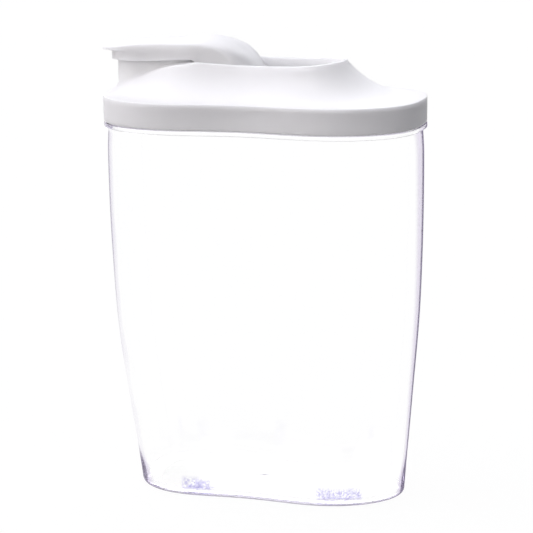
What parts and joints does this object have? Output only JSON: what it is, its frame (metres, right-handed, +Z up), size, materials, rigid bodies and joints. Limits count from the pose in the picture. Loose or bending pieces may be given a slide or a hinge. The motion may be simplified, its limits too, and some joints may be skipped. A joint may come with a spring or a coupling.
{
  "type": "cereal container",
  "caption": "Tall clear food keeper with a waisted oval body, a domed lift-off lid with a well, and a hinged flip cap over a pouring spout.",
  "frame": {"origin": "centre of the jar's foot, on the surface it stands on", "axes": "+Z up, X along the width with the pouring spout at -X, the front faces -Y"},
  "size_m": [0.182, 0.0922, 0.2557],
  "materials": {
    "clear_jar": "clear injection-moulded plastic, polished",
    "white_lid": "white moulded plastic, soft satin gloss",
    "white_cap": "white moulded plastic, soft satin gloss",
    "seal": "translucent white silicone, matt"
  },
  "bodies": {
    "jar": {"jar": "clear_jar"},
    "lid": {"lid": "white_lid", "lid_seal": "seal"},
    "flip_cap": {"flip_cap": "white_cap", "cap_seal": "seal"}
  },
  "joints": [
    {"name": "lid_lift", "type": "slide", "parent": "jar", "child": "lid", "axis": [0, 0, 1], "range_m": [0, 0.06]},
    {"name": "cap_hinge", "type": "hinge", "parent": "lid", "child": "flip_cap", "pos_m": [-0.008, 0, 0.23505], "axis": [0, 1, 0], "range_deg": [0, 135]}
  ]
}
